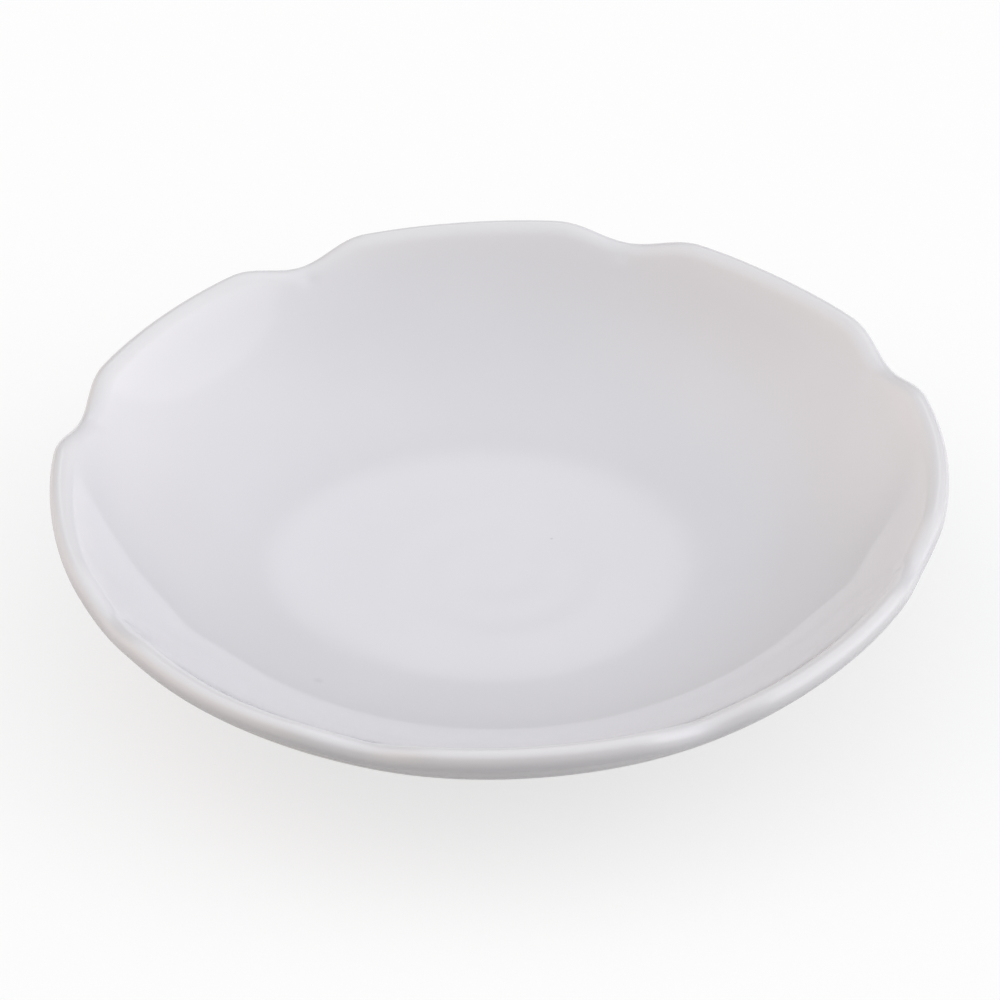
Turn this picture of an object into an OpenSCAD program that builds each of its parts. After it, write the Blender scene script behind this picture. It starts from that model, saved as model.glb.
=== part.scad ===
/* [Rim] */
// Diameter of the dish across the widest points of its rim
rim_d = 96; // [80:1:120]
// Number of lobes round the rim
lobes = 8; // [5:1:12]
// How far the rim is drawn in at the notch between two lobes
notch_in = 1.3; // [0.4:0.1:2.4]
// How far the rim dips at a notch
notch_drop = 1.4; // [0:0.1:3]
// Length of a notch along the rim
notch_w = 16; // [8:1:18]
// How much the middle of each lobe's edge is drawn in, so that it runs flatter than a circle
lobe_flat = 0.4; // [0:0.1:1.4]
// How fast the lobes fade down the wall, from 0, where they reach the floor evenly
lobe_fade = 2; // [0:0.5:4]

/* [Well and wall] */
// Thickness of the rounded lip, with its glaze
lip_t = 2.6; // [2:0.1:4]
// Thickness of the floor, with its glaze, from which the wall thins to the lip
floor_t = 3.6; // [3:0.1:6]
// Diameter of the flat middle of the floor, where the wall's curve starts
floor_d = 24; // [12:1:40]
// Depth of the well, from the top of the lip to the floor
well_depth = 12; // [8:0.5:18]
// How late the wall turns up: the power with which it rises on its way out
wall_curve = 3; // [2:0.1:4]

/* [Foot ring] */
// Outer diameter of the bare foot ring
foot_d = 52; // [46:1:64]
// Width of the foot ring
foot_w = 3.2; // [2.4:0.1:4]
// Width of the face ground flat under the foot ring
foot_flat = 2; // [1:0.1:2.2]
// Height of the recess under the floor, inside the foot ring
foot_h = 3.2; // [2.4:0.1:5]
// Radius between the outside of the wall and the foot ring
foot_fillet = 1.2; // [0.6:0.1:2]

/* [Glaze] */
// Thickness of the glaze
glaze_t = 0.3; // [0.2:0.05:0.5]
// Bare strip between the rounded edge of the foot ring and the glaze
bare_strip = 0.2; // [0.1:0.05:0.5]
// Radius of the glaze in the corner of the recess
glaze_cove = 0.6; // [0.3:0.1:1]
// Clearance between the foot ring and the glaze inside it
glaze_fit = 0.02; // [0.02:0.01:0.05]

/* [Hidden] */

// Steps along half a lobe: over its edge, then over half a notch
edge_steps = 2;
notch_steps = 4;
// Steps along a section of the wall: inside, round the lip, outside, into the foot and round the foot
inside_steps = 8;
lip_steps = 6;
outside_steps = 5;
fillet_steps = 2;
foot_steps = 6;
// Leaning of the inside steps towards the lip, where the wall bends most
step_lean = 0.8;
// Halvings that find where the wall meets the fillet above the foot ring
halvings = 30;
// Sides of the round pieces
round_steps = 96;

// Places on the section
lip_r = lip_t / 2;
floor_r = floor_d / 2;
floor_z = foot_h + floor_t;
mid_z = foot_h + floor_t / 2;
rim_z = floor_z + well_depth - lip_r;
wall_across = rim_d / 2 - lip_r - floor_r;
wall_rise = rim_z - mid_z;
in_power = 1 + lobe_fade;
drop_power = wall_curve + lobe_fade;
foot_r = foot_d / 2;
foot_in = foot_r - foot_w;
foot_mid = foot_r - foot_w / 2;
foot_z = sqrt(pow(foot_w / 2, 2) - pow(foot_flat / 2, 2));
glaze_end = foot_z + bare_strip;
body_floor_z = floor_z - glaze_t;
recess_z = foot_h + glaze_t;
fillet_x = foot_r + glaze_t + foot_fillet;

// Place along half a lobe, from 0 at its middle to 1 at the notch, and the notch's share of it
half_lobe = 180 / lobes;
notch_share = notch_w / 2 / (PI * (rim_d / 2 - lip_r) / lobes);
spread = concat(
    [for (k = [0 : edge_steps - 1]) (1 - notch_share) * k / edge_steps],
    [for (k = [0 : notch_steps]) 1 - notch_share * (1 - k / notch_steps)]);
last_step = len(spread) - 1;

// Each row is an angle round the dish and its place along half a lobe
turns = [for (lobe = [0 : lobes - 1], side = [0, 1])
    for (k = side == 0 ? [0 : last_step] : [last_step - 1 : -1 : 1])
        [half_lobe * (2 * lobe + (side == 0 ? spread[k] : 2 - spread[k])), spread[k]]];

// Rim: a smooth dip at the notch, and an edge that is drawn in at the middle of the lobe
function dip(u) = (1 - cos(180 * max(0, 1 - (1 - u) / notch_share))) / 2;
function drawn_in(u) = notch_in * dip(u) + lobe_flat * (1 + cos(180 * u)) / 2;
least_in = min([for (u = spread) drawn_in(u)]);

// Middle line of the wall, at a share s of the way from the floor to the centre of the lip: it goes out
// evenly and up as a power, and the lobes' part in it grows towards the lip
function wall_half(s) = (floor_t + (lip_t - floor_t) * s) / 2;
function wall_mid(u, s) = [
    floor_r + wall_across * s - (drawn_in(u) - least_in) * pow(s, in_power),
    mid_z + wall_rise * pow(s, wall_curve) - notch_drop * dip(u) * pow(s, drop_power)];
function wall_slope(u, s) =
    let (
        out = wall_across - in_power * (drawn_in(u) - least_in) * pow(s, in_power - 1),
        rise = wall_curve * wall_rise * pow(s, wall_curve - 1),
        fall = drop_power * notch_drop * dip(u) * pow(s, drop_power - 1))
    atan2(rise - fall, out);

// Point beside the middle line, towards the inside where off is above 0
function beside(u, s, off) =
    let (slope = wall_slope(u, s)) wall_mid(u, s) + off * [-sin(slope), cos(slope)];

// Share of the way at which the outside of the wall meets the fillet
function fillet_share(u, low = 0, high = 1, left = halvings) =
    let (half_way = (low + high) / 2)
        left == 0 ? half_way
        : beside(u, half_way, -wall_half(half_way) - foot_fillet)[0] < fillet_x
            ? fillet_share(u, half_way, high, left - 1)
            : fillet_share(u, low, half_way, left - 1);

// Points of an arc about a centre, from the first of its steps that is wanted
function arc(centre, r, from, to, steps, first = 1) =
    [for (k = [first : steps]) let (a = from + (to - from) * k / steps) centre + r * [cos(a), sin(a)]];

// Section of the glazed surface at one place along a lobe, or of the surface at a depth under it:
// up the inside of the wall, round the lip, back down the outside and into the foot ring
function section(u, depth) =
    let (
        steep = wall_slope(u, 1),
        last = fillet_share(u),
        tuck = wall_slope(u, last),
        bend = beside(u, last, -wall_half(last) - foot_fillet))
    concat(
        [for (k = [0 : inside_steps]) let (s = pow(k / inside_steps, step_lean))
            beside(u, s, wall_half(s) - depth)],
        arc(wall_mid(u, 1), lip_r - depth, steep + 90, steep - 90, lip_steps),
        [for (k = [1 : outside_steps]) let (s = 1 + (last - 1) * k / outside_steps)
            beside(u, s, depth - wall_half(s))],
        arc(bend, foot_fillet + depth, tuck + 90, 180, fillet_steps),
        [[foot_r + glaze_t - depth, glaze_end]]);

// Section of the foot ring, from its outer edge round to the recess
foot_section = concat(
    arc([foot_mid, foot_z], foot_w / 2, 0, -180, foot_steps, 0),
    [[foot_in, recess_z]]);

function turned_back(points) = [for (k = [len(points) - 1 : -1 : 0]) points[k]];

// Closed solid carried round the axis through one section for each turn, from a top to a bottom point.
// Rows past the fold are split along the other diagonal, so that a surface followed back matches itself
module loft(sections, top, bottom, fold) {
    count = len(sections);
    rows = len(sections[0]);
    points = concat(
        [[0, 0, top]],
        [for (i = [0 : count - 1], p = sections[i])
            [p[0] * cos(turns[i][0]), p[0] * sin(turns[i][0]), p[1]]],
        [[0, 0, bottom]]);
    function at(i, j) = 1 + (i % count) * rows + j;
    end = len(points) - 1;
    faces = concat(
        [for (i = [0 : count - 1]) [0, at(i + 1, 0), at(i, 0)]],
        [for (i = [0 : count - 1], j = [0 : rows - 2], half = [0, 1])
            let (a = at(i, j), b = at(i + 1, j), c = at(i + 1, j + 1), d = at(i, j + 1))
                j < fold ? (half == 0 ? [a, b, c] : [a, c, d]) : (half == 0 ? [a, b, d] : [b, c, d])],
        [for (i = [0 : count - 1]) [end, at(i, rows - 1), at(i + 1, rows - 1)]]);
    polyhedron(points, faces, convexity = 6);
}

// Fired clay: floor, lobed wall and foot ring, with the foot ring ground flat
module porcelain_body() {
    sections = [for (t = turns) concat(section(t[1], glaze_t), foot_section)];
    color("linen")
        difference() {
            loft(sections, body_floor_z, recess_z, len(sections[0]));
            translate([0, 0, -foot_w]) cylinder(h = foot_w, r = rim_d / 2, $fn = round_steps);
        }
}

// Glaze over the well, the lip and the outside, down to the bare edge of the foot ring
module glaze_coat() {
    sections = [for (t = turns) concat(section(t[1], 0), turned_back(section(t[1], glaze_t)))];
    color("ghostwhite")
        loft(sections, floor_z, body_floor_z, len(sections[0]) / 2);
}

// Glaze under the floor, down the inner side of the foot ring to its bare edge
module foot_glaze() {
    inner = foot_in - glaze_t;
    color("whitesmoke")
        rotate_extrude($fn = round_steps) {
            translate([0, foot_h]) square([foot_in - glaze_fit, glaze_t]);
            translate([inner, glaze_end]) square([glaze_t - glaze_fit, foot_h + glaze_t - glaze_end]);
            difference() {
                translate([inner - glaze_cove, foot_h - glaze_cove]) square(glaze_cove + glaze_t / 2);
                translate([inner - glaze_cove, foot_h - glaze_cove]) circle(glaze_cove, $fn = round_steps);
            }
        }
}

porcelain_body();
glaze_coat();
foot_glaze();
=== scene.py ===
import math

import bpy
import numpy as np
from mathutils import Matrix


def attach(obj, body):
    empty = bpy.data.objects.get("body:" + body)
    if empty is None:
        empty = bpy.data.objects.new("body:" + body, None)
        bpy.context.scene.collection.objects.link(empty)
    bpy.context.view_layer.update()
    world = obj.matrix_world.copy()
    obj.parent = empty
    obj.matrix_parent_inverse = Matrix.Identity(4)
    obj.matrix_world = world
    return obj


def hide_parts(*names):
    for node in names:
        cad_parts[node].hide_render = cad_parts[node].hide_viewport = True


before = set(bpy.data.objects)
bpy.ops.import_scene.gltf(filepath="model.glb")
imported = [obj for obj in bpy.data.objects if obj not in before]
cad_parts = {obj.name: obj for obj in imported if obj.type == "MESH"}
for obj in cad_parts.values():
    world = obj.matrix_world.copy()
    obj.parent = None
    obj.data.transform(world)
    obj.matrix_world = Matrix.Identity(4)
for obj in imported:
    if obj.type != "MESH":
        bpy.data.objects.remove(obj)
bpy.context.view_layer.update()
scene = bpy.context.scene
scene.view_settings.view_transform = "Standard"
millimetre = 0.001
print("frame loaded:", ", ".join(sorted(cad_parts)))

# The dish's sizes in millimetres, as its solids have them but for lobeFade and lipReach
dish = {
    "rimAcross": 96.0,
    "lobes": 8,
    "notchDrop": 1.4,  # how far the rim dips at a notch
    "notchLength": 16.0,
    "lobeFade": 4.0,  # how fast the lobes fade down the wall, sooner than in the solids
    "lip": 2.6,
    "lipReach": 1.5,  # length of the rounding against half the lip's thickness, 1 in the solids
    "floor": 3.6,
    "floorAcross": 24.0,
    "wellDepth": 12.0,
    "wallCurve": 3.0,  # power with which the wall rises on its way out
    "footAcross": 52.0,
    "footWidth": 3.2,
    "footFlat": 2.0,
    "footHeight": 3.2,
    "footFillet": 1.2,
    "glaze": 0.3,
    "bareStrip": 0.2,  # between the foot's rounded edge and the glaze
    "glazeCove": 0.6,
    "glazeFit": 0.02,
}
quarter = math.pi / 2
lipRadius = dish["lip"] / 2
floorRadius = dish["floorAcross"] / 2
floorHeight = dish["footHeight"] + dish["floor"]
middleHeight = dish["footHeight"] + dish["floor"] / 2
rimHeight = floorHeight + dish["wellDepth"] - lipRadius
lipCircle = dish["rimAcross"] / 2 - lipRadius
wallRise = rimHeight - middleHeight
wallPace = math.hypot(lipCircle - floorRadius, dish["wallCurve"] * wallRise)  # length for a share of 1
lipStart = 1 - (dish["lipReach"] - 1) * lipRadius / wallPace  # share at which the rounding starts
footRadius = dish["footAcross"] / 2
footInside = footRadius - dish["footWidth"]
footCentre = footRadius - dish["footWidth"] / 2
footArcHeight = math.sqrt((dish["footWidth"] / 2) ** 2 - (dish["footFlat"] / 2) ** 2)
glazeEnd = footArcHeight + dish["bareStrip"]
halvings = 40  # that find where the wall meets the fillet above the foot ring


# A rim trimmed by hand and warped in the kiln: each notch and lobe has its own depth and flatness, in
# turn from +X. A swell has its number of places, its height and the turn in degrees of its first place
uneven = {
    "notchIn": (1.0, 1.0, 1.4, 1.2, 0.7, 1.3, 1.3, 0.85),
    "lobeFlat": (-0.15, 0.8, 0.35, 0.3, 0.3, -0.35, 0.55, 0.15),
    "swells": ((2, 0.32, 67), (3, 0.3, 34)),
    "inset": 0.25,  # keeps the widest swell inside the even rim
}


# Rim at a turn: place along half a lobe as a triangle wave, 0 at its middle and 1 at a notch; the dip, a
# raised cosine over the notch; and how far the rim is drawn in, that cosine with one that is largest at
# the lobe's middle, less slow cosines for the swells
def rimDip(turn):
    halfLobe = math.pi / dish["lobes"]
    turn = np.mod(turn, 2 * math.pi)
    along = np.abs(np.mod(turn + halfLobe, 2 * halfLobe) - halfLobe) / halfLobe
    notchShare = dish["notchLength"] / 2 / (math.pi * lipCircle / dish["lobes"])
    dip = (1 - np.cos(math.pi * np.maximum(0, 1 - (1 - along) / notchShare))) / 2
    notch = np.floor(turn / (2 * halfLobe)).astype(int) % dish["lobes"]
    lobe = np.floor((turn + halfLobe) / (2 * halfLobe)).astype(int) % dish["lobes"]
    drawnIn = np.take(uneven["notchIn"], notch) * dip
    drawnIn += np.take(uneven["lobeFlat"], lobe) * (1 + np.cos(math.pi * along)) / 2 + uneven["inset"]
    for places, swell, start in uneven["swells"]:
        drawnIn -= swell * np.cos(places * (turn - math.radians(start)))
    return dip, drawnIn


# Middle line of the wall at a share of the way from the floor to the centre of the lip: out evenly and up
# as a power of the share, less the lobes' part, a higher power of it; with its slope and half the wall's
# thickness
def wallLine(turn, share):
    dip, inward = rimDip(turn)
    across, drop = lipCircle - floorRadius, dish["notchDrop"] * dip
    rise, inPower = dish["wallCurve"], 1 + dish["lobeFade"]
    dropPower = rise + dish["lobeFade"]
    out = floorRadius + across * share - inward * share**inPower
    up = middleHeight + wallRise * share**rise - drop * share**dropPower
    ahead = across - inPower * inward * share ** (inPower - 1)
    climb = rise * wallRise * share ** (rise - 1) - dropPower * drop * share ** (dropPower - 1)
    half = (dish["floor"] + (dish["lip"] - dish["floor"]) * share) / 2
    return out, up, np.arctan2(climb, ahead), half


# Points beside the middle line: a step along its normal, towards the inside where off is above 0
def besideWall(line, off):
    out, up, slope = line[:3]
    return out - off * np.sin(slope), up + off * np.cos(slope)


# Share of the way at which the outside meets the fillet above the foot ring, found by halving
def filletShare(turn):
    target = footRadius + dish["glaze"] + dish["footFillet"]
    low, high = np.zeros_like(turn), np.ones_like(turn)
    for halving in range(halvings):
        middle = (low + high) / 2
        line = wallLine(turn, middle)
        short = besideWall(line, -line[3] - dish["footFillet"])[0] < target
        low, high = np.where(short, middle, low), np.where(short, high, middle)
    return middle


# Rows of points on an arc: centre plus radius times cosine and sine of even angles, the first left out
def arcRows(centre, radius, start, end, steps):
    angle = start + (end - start) * np.arange(1, steps + 1) / steps
    return centre[0] + radius * np.cos(angle), centre[1] + radius * np.sin(angle)


# Rows of points round the lip, from its inside to its outside: half an ellipse that reaches out along
# the wall
def lipRows(line, depth, steps):
    angle = quarter - math.pi * np.arange(1, steps + 1) / steps
    along = (lipRadius * dish["lipReach"] - depth) * np.cos(angle)
    side = (line[3] - depth) * np.sin(angle)
    cosine, sine = np.cos(line[2]), np.sin(line[2])
    return line[0] + along * cosine - side * sine, line[1] + along * sine + side * cosine


# Marks of the making: a pinch inside the lip at each notch, and a floor that is a little dished, with
# throwing rings
marks = {
    "pinch": 0.12,
    "pinchLength": 1.1,  # along the rim
    "pinchWidth": 0.7,  # across the lip
    "pinchPlace": 0.2,  # past the start of the lip
    "rings": 0.01,
    "ringStep": 5.6,
    "ringsEnd": 21.0,
    "ringsFade": 1.2,
    "sag": 0.2,
    "sagEnd": 22.0,
}


# Depth of the pinch: a bell of the distance from the notch along the rim, times one of the distance past
# the lip's start
def pinchDepth(turn, pastLip):
    halfLobe = math.pi / dish["lobes"]
    aside = (np.mod(turn, 2 * halfLobe) - halfLobe) * lipCircle
    across = (pastLip - marks["pinchPlace"]) / marks["pinchWidth"]
    return marks["pinch"] * np.exp(-((aside / marks["pinchLength"]) ** 2) - across**2)


# Height of the rings and of the dished floor: a cosine of the radius, which fades out past the floor,
# less the square of one minus the square of the radius over where the sag ends
def floorMarks(out):
    fade = 1 / (1 + np.exp((out - marks["ringsEnd"]) / marks["ringsFade"]))
    sag = np.maximum(0, 1 - (out / marks["sagEnd"]) ** 2) ** 2
    return marks["rings"] * fade * np.cos(2 * math.pi * out / marks["ringStep"]) - marks["sag"] * sag


# Wall at a depth under the glazed surface: up its inside, round the lip, down its outside, a fillet and a
# short drop beside the foot ring, for each turn; the glazed surface itself has the marks
def wallRows(turn, depth, steps):
    turn = turn[:, None]
    rising = lipStart * (np.arange(1, steps["inside"] + 1)[None] / steps["inside"]) ** steps["lean"]
    end = filletShare(turn)
    falling = lipStart + (end - lipStart) * np.arange(1, steps["outside"] + 1) / steps["outside"]
    shares = (rising, np.full_like(turn, lipStart), falling, end)
    inside, lip, outside, foot = (wallLine(turn, share) for share in shares)
    bend = besideWall(foot, -foot[3] - dish["footFillet"])
    roundLip = math.pi * lipRadius * np.arange(1, steps["lip"] + 1) / steps["lip"]
    marked = 1 if depth == 0 else 0
    wallMarks = marked * (floorMarks(inside[0]) - pinchDepth(turn, (rising - lipStart) * wallPace))
    lipMarks = marked * pinchDepth(turn, roundLip)
    parts = [
        besideWall(inside, inside[3] - depth + wallMarks),
        lipRows(lip, depth + lipMarks, steps["lip"]),
        besideWall(outside, depth - outside[3]),
        arcRows(bend, dish["footFillet"] + depth, foot[2] + quarter, math.pi, steps["fillet"]),
        (np.full_like(turn, footRadius + dish["glaze"] - depth), np.full_like(turn, glazeEnd)),
    ]
    return np.hstack([part[0] for part in parts]), np.hstack([part[1] for part in parts])


# Turns all round, closer together at the notches: even turns plus a sine of them
def lobeTurns(count, squeeze=0.7):
    even = 2 * math.pi * np.arange(count) / count
    return even + squeeze * np.sin(dish["lobes"] * even) / dish["lobes"]


# Level rows from near the axis out to a radius, at one height or with the marks of the floor
def levelRows(turn, outer, height, steps, marked=False):
    out = np.tile(outer * np.arange(1, steps + 1) / steps, (len(turn), 1))
    return out, height + (floorMarks(out) if marked else 0 * out)


# Closed surface of rows carried round the axis: out times cosine and sine of the turn, with a point on
# the axis closing each end
def turnedPiece(name, turn, out, up, topHeight, bottomHeight, sharpAngle=50):
    count, rows = out.shape
    cosine, sine = np.cos(turn)[:, None], np.sin(turn)[:, None]
    grid = np.stack([out * cosine, out * sine, up], axis=-1).reshape(-1, 3)
    points = np.vstack([[0, 0, topHeight], grid, [0, 0, bottomHeight]]) * millimetre
    ring = np.arange(count)
    after = (ring + 1) % count
    place = lambda turns, row: 1 + turns * rows + row
    i, j = (a.ravel() for a in np.meshgrid(ring, np.arange(rows - 1), indexing="ij"))
    k = (i + 1) % count
    quads = np.stack([place(i, j), place(i, j + 1), place(k, j + 1), place(k, j)], axis=1)
    first = np.stack([np.zeros(count, int), place(ring, 0), place(after, 0)], axis=1)
    end = np.full(count, len(points) - 1)
    last = np.stack([end, place(after, rows - 1), place(ring, rows - 1)], axis=1)
    mesh = bpy.data.meshes.new(name)
    mesh.from_pydata(points.tolist(), [], first.tolist() + quads.tolist() + last.tolist())
    mesh.shade_smooth()
    mesh.set_sharp_from_angle(angle=math.radians(sharpAngle))
    piece = bpy.data.objects.new(name, mesh)
    scene.collection.objects.link(piece)
    print(name, len(mesh.polygons), "faces")
    return piece


# Small helpers for procedural materials
class Paint:
    def __init__(self, name):
        self.material = bpy.data.materials.new(name)
        self.material.use_nodes = True
        self.tree = self.material.node_tree
        self.shader = self.tree.nodes["Principled BSDF"]
        self.place = self.tree.nodes.new("ShaderNodeTexCoord").outputs["Object"]

    def add(self, kind, **sockets):
        node = self.tree.nodes.new(kind)
        for name, value in sockets.items():
            self.put(node.inputs[name.replace("_", " ")], value)
        return node

    def put(self, socket, value):
        if isinstance(value, bpy.types.NodeSocket):
            self.tree.links.new(value, socket)
        else:
            socket.default_value = value

    def noise(self, scale, detail=3.0, roughness=0.5):
        node = self.add("ShaderNodeTexNoise", Vector=self.place, Scale=scale, Detail=detail)
        self.put(node.inputs["Roughness"], roughness)
        return node.outputs["Fac"]

    def ramp(self, value, low, high, start=0.0, end=1.0):
        node = self.tree.nodes.new("ShaderNodeMapRange")
        node.interpolation_type = "SMOOTHSTEP"
        sockets = ("Value", "From Min", "From Max", "To Min", "To Max")
        for socket, setting in zip(sockets, (value, low, high, start, end)):
            self.put(node.inputs[socket], setting)
        return node.outputs["Result"]

    # Sockets 6 and 7 are the two colours of a mix and output 2 is the mixed one
    def mix(self, share, first, second):
        node = self.tree.nodes.new("ShaderNodeMix")
        node.data_type = "RGBA"
        self.put(node.inputs["Factor"], share)
        for socket, colour in zip((node.inputs[6], node.inputs[7]), (first, second)):
            self.put(socket, colour)
        return node.outputs[2]

    def most(self, first, second):
        node = self.tree.nodes.new("ShaderNodeMath")
        node.operation = "MAXIMUM"
        self.put(node.inputs[0], first)
        self.put(node.inputs[1], second)
        return node.outputs["Value"]

    def distance(self, point):
        node = self.tree.nodes.new("ShaderNodeVectorMath")
        node.operation = "DISTANCE"
        self.put(node.inputs[0], self.place)
        self.put(node.inputs[1], point)
        return node.outputs["Value"]

    def bump(self, height, distance, normal=None):
        node = self.add("ShaderNodeBump", Height=height, Distance=distance, Strength=1.0)
        if normal is not None:
            self.put(node.inputs["Normal"], normal)
        return node.outputs["Normal"]


glazeLook = {
    "well": (0.70, 0.695, 0.725, 1),  # pooled and a little cooler
    "wall": (0.705, 0.70, 0.728, 1),
    "lip": (0.735, 0.728, 0.745, 1),  # lighter: painted light, for the light the rounded rim catches
    "cloud": (0.76, 0.755, 0.775, 1),
    "speck": (0.36, 0.35, 0.35, 1),
    # Place and radius in millimetres, and strength
    "specks": ((5.95, 5.25, 6.6, 0.25, 0.45), (-20.7, -18.3, 7.7, 0.8, 0.16)),
    "roughness": (0.05, 0.08),
    "poolHeights": (0.007, 0.0105),  # metres, over which the well's tone turns into the wall's
    "lipLightHeights": (0.0155, 0.0187),  # the same for the wall's tone into the lip's painted lighter one
    "cloudNoise": (90, 4),  # scale and detail
    "cloudRange": (0.35, 0.7),  # of the noise, over which the cloud sets in
    "cloudShare": 0.12,
    "roughnessNoise": (260, 3),
    "roughnessRange": (0.3, 0.7),
    "waveNoise": (110, 1),
    "waveHeight": 0.000006,
    "peelNoise": (1500, 2),
    "peelHeight": 0.0000004,
    "refraction": 1.5,
}


def glazePaint():
    paint = Paint("glaze")
    height = paint.add("ShaderNodeSeparateXYZ", Vector=paint.place).outputs["Z"]
    pooled = paint.ramp(height, *glazeLook["poolHeights"], 1, 0)
    # Painted light: the glaze turns lighter towards the lip, standing in for the light the rim catches
    paintedLipLight = paint.ramp(height, *glazeLook["lipLightHeights"])
    cloud = paint.noise(*glazeLook["cloudNoise"])
    base = paint.mix(pooled, glazeLook["wall"], glazeLook["well"])
    base = paint.mix(paintedLipLight, base, glazeLook["lip"])
    clouded = paint.ramp(cloud, *glazeLook["cloudRange"], 0, glazeLook["cloudShare"])
    base = paint.mix(clouded, base, glazeLook["cloud"])
    for *centre, radius, strength in glazeLook["specks"]:
        distance = paint.distance([millimetre * value for value in centre])
        spot = paint.ramp(distance, 0, radius * millimetre, strength, 0)
        base = paint.mix(spot, base, glazeLook["speck"])
    paint.put(paint.shader.inputs["Base Color"], base)
    rough = paint.noise(*glazeLook["roughnessNoise"])
    roughness = paint.ramp(rough, *glazeLook["roughnessRange"], *glazeLook["roughness"])
    paint.put(paint.shader.inputs["Roughness"], roughness)
    wave = paint.bump(paint.noise(*glazeLook["waveNoise"]), glazeLook["waveHeight"])
    peel = paint.bump(paint.noise(*glazeLook["peelNoise"]), glazeLook["peelHeight"], wave)
    paint.put(paint.shader.inputs["Normal"], peel)
    paint.shader.inputs["IOR"].default_value = glazeLook["refraction"]
    return paint.material


clayLook = {
    "fired": (0.66, 0.62, 0.56, 1),
    "worn": (0.5, 0.45, 0.39, 1),
    "cloudNoise": (420, 5, 0.65),  # scale, detail and roughness
    "wornRange": (0.42, 0.75),  # of the noise, over which the worn tone sets in
    "wornShare": 0.6,
    "roughness": (0.6, 0.85),
    "roughnessRange": (0.3, 0.7),
    "gritNoise": (3500, 3, 0.7),
    "grit": 0.00003,
}


def clayPaint():
    paint = Paint("firedClay")
    cloud = paint.noise(*clayLook["cloudNoise"])
    worn = paint.ramp(cloud, *clayLook["wornRange"], 0, clayLook["wornShare"])
    base = paint.mix(worn, clayLook["fired"], clayLook["worn"])
    paint.put(paint.shader.inputs["Base Color"], base)
    roughness = paint.ramp(cloud, *clayLook["roughnessRange"], *clayLook["roughness"])
    paint.put(paint.shader.inputs["Roughness"], roughness)
    grit = paint.bump(paint.noise(*clayLook["gritNoise"]), clayLook["grit"])
    paint.put(paint.shader.inputs["Normal"], grit)
    return paint.material


glazeMaterial = glazePaint()
clayMaterial = clayPaint()

glazeCoat = {
    "turns": 384,
    "floorRows": 24,
    "underRows": 1,  # on the hidden side of the floor
    "outer": {"inside": 44, "lip": 24, "outside": 18, "fillet": 6, "lean": 0.6},
    "inner": {"inside": 12, "lip": 10, "outside": 8, "fillet": 3, "lean": 0.7},
}


# Glaze over well, lip and outside: the glazed surface, then the surface one glaze thickness under it,
# followed back
def makeGlazeCoat():
    turn = lobeTurns(glazeCoat["turns"])
    bodyFloor = floorHeight - dish["glaze"]
    runs = [
        levelRows(turn, floorRadius, floorHeight, glazeCoat["floorRows"], marked=True),
        wallRows(turn, 0, glazeCoat["outer"]),
        [rows[:, ::-1] for rows in wallRows(turn, dish["glaze"], glazeCoat["inner"])],
        levelRows(turn, floorRadius, bodyFloor, glazeCoat["underRows"]),
    ]
    out, up = (np.hstack([run[k] for run in runs]) for k in (0, 1))
    return turnedPiece("glazeCoat", turn, out, up, floorHeight + floorMarks(0), bodyFloor)


bareBody = {
    "turns": 384,
    "floorRows": 2,
    "wall": {"inside": 12, "lip": 12, "outside": 10, "fillet": 4, "lean": 0.7},
    "footRows": 8,
    "flatRows": 3,
}


# Fired clay: the surface under the glaze, then the foot ring's outer rounding, its ground face, its inner
# rounding and the recess
def makeBareBody():
    turn = lobeTurns(bareBody["turns"])
    bodyFloor = floorHeight - dish["glaze"]
    recess = dish["footHeight"] + dish["glaze"]
    edge = math.acos(dish["footFlat"] / dish["footWidth"])
    line = np.zeros((len(turn), 1))
    radius, ring = dish["footWidth"] / 2, (footCentre, footArcHeight)
    inward = np.arange(1, bareBody["flatRows"] + 1) / bareBody["flatRows"]
    flat = footCentre + dish["footFlat"] * (0.5 - inward)
    runs = [
        levelRows(turn, floorRadius, bodyFloor, bareBody["floorRows"]),
        wallRows(turn, dish["glaze"], bareBody["wall"]),
        arcRows(ring, radius, line, line - edge, bareBody["footRows"]),
        (line + flat, line + 0 * flat),
        arcRows(ring, radius, line + edge - math.pi, line - math.pi, bareBody["footRows"]),
        (line + footInside, line + recess),
    ]
    out, up = (np.hstack([run[k] for run in runs]) for k in (0, 1))
    return turnedPiece("firedBody", turn, out, up, bodyFloor, recess)


footGlaze = {"turns": 256, "coveRows": 8, "bottomRows": 8}


# Glaze in the recess: out over its top, down its outer side to the glaze's end, up its inner side, round
# the cove and in to the axis
def makeFootGlaze():
    turn = 2 * math.pi * np.arange(footGlaze["turns"]) / footGlaze["turns"]
    line = np.zeros((len(turn), 1))
    outer = footInside - dish["glazeFit"]
    inner = footInside - dish["glaze"]
    top = dish["footHeight"] + dish["glaze"]
    cove = dish["glazeCove"]
    coveOut, coveUp = inner - cove, dish["footHeight"] - cove
    bottom = coveOut * (1 - np.arange(1, footGlaze["bottomRows"]) / footGlaze["bottomRows"])
    runs = [
        (line + outer, line + top),
        (line + outer, line + glazeEnd),
        (line + inner, line + glazeEnd),
        (line + inner, line + coveUp),
        arcRows((coveOut, coveUp), cove, line, line + quarter, footGlaze["coveRows"]),
        (line + bottom, line + dish["footHeight"] + 0 * bottom),
    ]
    out, up = (np.hstack([run[k] for run in runs]) for k in (0, 1))
    return turnedPiece("recessGlaze", turn, out, up, top, dish["footHeight"])


for piece, node, slot, material in (
    (makeGlazeCoat(), "glaze_coat", "glaze", glazeMaterial),
    (makeBareBody(), "porcelain_body", "porcelain", clayMaterial),
    (makeFootGlaze(), "foot_glaze", "glaze", glazeMaterial),
):
    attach(piece, "root")
    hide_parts(node)
    piece.data.materials.append(material)
print("dish made")

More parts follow.
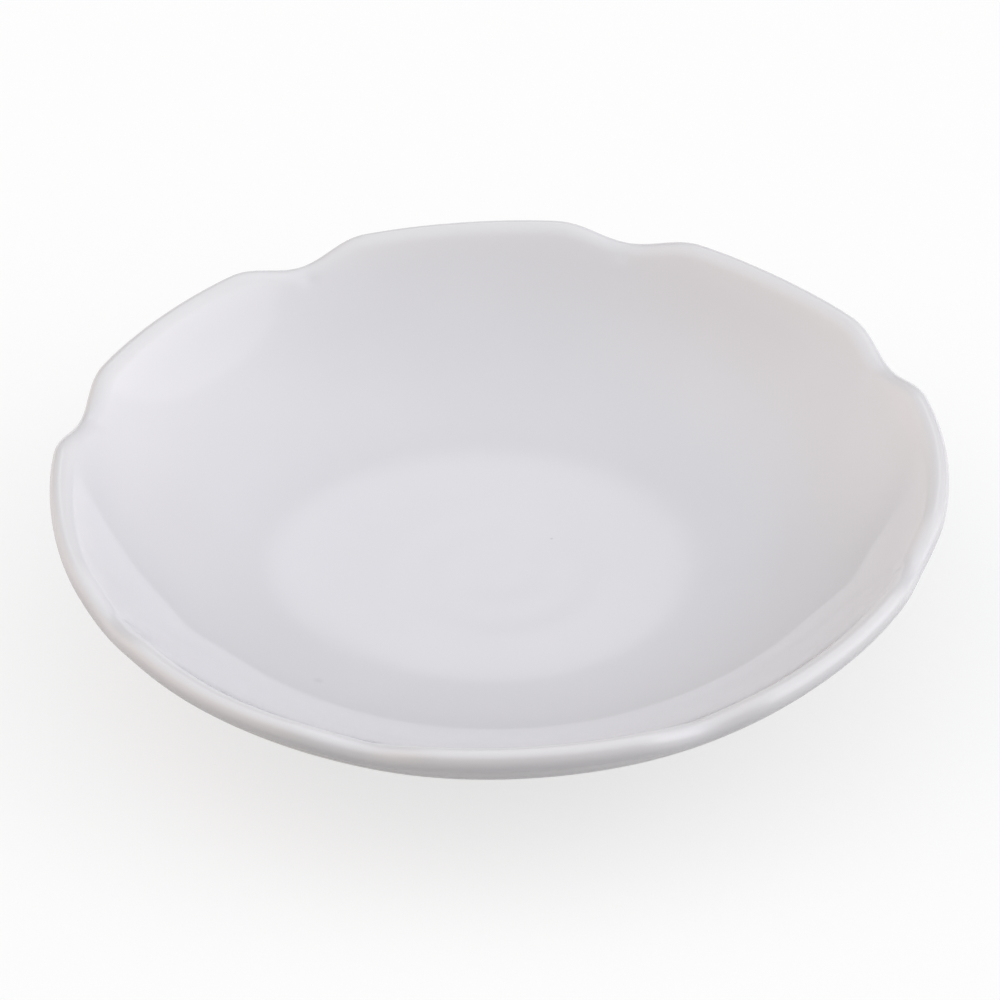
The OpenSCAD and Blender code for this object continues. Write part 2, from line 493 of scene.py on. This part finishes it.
# Floor of the studio and the soft glows of its world. A glow is centred at a turn from +X and a height in
# degrees, fades out smoothly between two angles from there and has the brightness of its colour
studio = {
    "floorAcross": 12.0,  # metres
    "floorDrop": 0.00002,
    "floorColour": (0.95, 0.95, 0.95, 1),
    "cloudColour": (0.93, 0.93, 0.93, 1),
    "cloudScale": 3,
    "cloudRange": (0.3, 0.7),
    "cloudShare": 0.3,
    "floorRoughness": 0.9,
    "floorBounce": (0.45, 0.45, 0.45, 1),  # what it throws back on the dish
    "floorWhite": 0.7,  # share of plain white in the floor that is seen, the rest keeps the shadow
    "mirroredWhite": 0.25,  # the same for the floor that shows in the glaze
    "world": (0.13, 0.13, 0.13),
    "glows": {
        "dome": {"turn": 0, "height": 90, "fade": (15, 62), "colour": (0.6, 0.62, 0.62)},
        "panel": {"turn": 90, "height": 70, "fade": (28, 44), "colour": (0.12, 0.22, 0.28)},
        "right": {"turn": -10, "height": 8, "fade": (0, 62), "colour": (1.46, 1.46, 1.44)},
        "box": {"turn": -10, "height": 21.5, "fade": (25, 28.5), "colour": (0.68, 0.64, 0.72)},
        "left": {"turn": 170, "height": 24, "fade": (0, 60), "colour": (0.95, 0.75, 0.7)},
        "leftLow": {"turn": 166, "height": 2, "fade": (0, 55), "colour": (0.45, 0.5, 0.4)},
        "back": {"turn": 82, "height": 38.5, "fade": (0, 8), "colour": (1.0, 0.93, 0.97)},
        "front": {"turn": 270, "height": 38, "fade": (0, 48), "colour": (0.36, 0.34, 0.33)},
        "backRight": {"turn": 38, "height": 36, "fade": (0, 36), "colour": (0.45, 0.34, 0.32)},
        "below": {"turn": 0, "height": -90, "fade": (86, 98), "colour": (0.6, 0.6, 0.6)},
    },
}


def makeFloor():
    half = studio["floorAcross"] / 2
    corners = [(-half, -half), (half, -half), (half, half), (-half, half)]
    mesh = bpy.data.meshes.new("floor")
    mesh.from_pydata([(x, y, -studio["floorDrop"]) for x, y in corners], [], [(0, 1, 2, 3)])
    floor = bpy.data.objects.new("floor", mesh)
    scene.collection.objects.link(floor)
    paint = Paint("paleFloor")
    ray = paint.add("ShaderNodeLightPath").outputs
    mirrored = paint.most(ray["Is Glossy Ray"], ray["Is Transmission Ray"])
    seen = paint.most(ray["Is Camera Ray"], mirrored)
    cloud = paint.noise(studio["cloudScale"])
    cloudy = paint.ramp(cloud, *studio["cloudRange"], 0, studio["cloudShare"])
    clouded = paint.mix(cloudy, studio["floorColour"], studio["cloudColour"])
    paint.put(paint.shader.inputs["Base Color"], paint.mix(seen, studio["floorBounce"], clouded))
    paint.shader.inputs["Roughness"].default_value = studio["floorRoughness"]
    paint.shader.inputs["Specular IOR Level"].default_value = 0.0
    white = paint.add("ShaderNodeEmission", Strength=1.0).outputs["Emission"]
    share = paint.ramp(ray["Is Camera Ray"], 0, 1, 0, studio["floorWhite"])
    mirroredShare = paint.ramp(mirrored, 0, 1, 0, studio["mirroredWhite"])
    blend = paint.add("ShaderNodeMixShader", Fac=paint.most(share, mirroredShare))
    paint.put(blend.inputs[1], paint.shader.outputs["BSDF"])
    paint.put(blend.inputs[2], white)
    paint.put(paint.tree.nodes["Material Output"].inputs["Surface"], blend.outputs["Shader"])
    mesh.materials.append(paint.material)


# World: a plain colour and, for each glow, its colour times a smooth step of the cosine of the angle from
# its centre
def makeWorld():
    world = bpy.data.worlds.new("studio")
    world.use_nodes = True
    nodes, links = world.node_tree.nodes, world.node_tree.links
    looking = nodes.new("ShaderNodeTexCoord").outputs["Generated"]
    light = nodes.new("ShaderNodeCombineXYZ")
    for socket, level in zip(light.inputs, studio["world"]):
        socket.default_value = level
    light = light.outputs["Vector"]
    for name, glow in studio["glows"].items():
        turn, height = math.radians(glow["turn"]), math.radians(glow["height"])
        nearness = nodes.new("ShaderNodeVectorMath")
        nearness.operation = "DOT_PRODUCT"
        nearness.inputs[1].default_value = (
            math.cos(height) * math.cos(turn), math.cos(height) * math.sin(turn), math.sin(height)
        )
        step = nodes.new("ShaderNodeMapRange")
        step.interpolation_type = "SMOOTHSTEP"
        near, far = (math.cos(math.radians(angle)) for angle in glow["fade"])
        step.inputs["From Min"].default_value = far
        step.inputs["From Max"].default_value = near
        added = nodes.new("ShaderNodeVectorMath")
        added.operation = "MULTIPLY_ADD"
        added.name = name
        added.inputs[1].default_value = glow["colour"]
        links.new(looking, nearness.inputs[0])
        links.new(nearness.outputs["Value"], step.inputs["Value"])
        links.new(step.outputs["Result"], added.inputs[0])
        links.new(light, added.inputs[2])
        light = added.outputs["Vector"]
    links.new(light, nodes["Background"].inputs["Color"])
    scene.world = world


makeFloor()
makeWorld()
print("studio lit")

# Camera where the photograph was taken from
view = {
    "elevation": 36.75,
    "turn": 4.59,  # how far the dish is turned under it
    "roll": 0.87,
    "distance": 1.714,
    "across": 0.10522,  # width of the picture at the rim's centre
    "aim": (0.00013, -0.00111),  # right and up from the rim's centre
    "sensor": 36,
    "clips": (0.05, 50),
}


def makeCamera():
    elevation, turn, roll = (math.radians(view[key]) for key in ("elevation", "turn", "roll"))
    flat = math.cos(elevation)
    back = np.array([-flat * math.sin(turn), -flat * math.cos(turn), math.sin(elevation)])
    level = np.array([math.cos(turn), -math.sin(turn), 0])
    rise = np.cross(back, level)
    right = level * math.cos(roll) - rise * math.sin(roll)
    up = level * math.sin(roll) + rise * math.cos(roll)
    centre = np.array([0, 0, rimHeight * millimetre])
    spot = centre + right * view["aim"][0] + up * view["aim"][1] + back * view["distance"]
    data = bpy.data.cameras.new("photoCamera")
    data.sensor_width = view["sensor"]
    data.lens = data.sensor_width * view["distance"] / view["across"]
    data.clip_start, data.clip_end = view["clips"]
    camera = bpy.data.objects.new("photoCamera", data)
    matrix = np.eye(4)
    matrix[:3, 0], matrix[:3, 1], matrix[:3, 2], matrix[:3, 3] = right, up, back, spot
    camera.matrix_world = Matrix(matrix.tolist())
    scene.collection.objects.link(camera)
    scene.camera = camera


makeCamera()
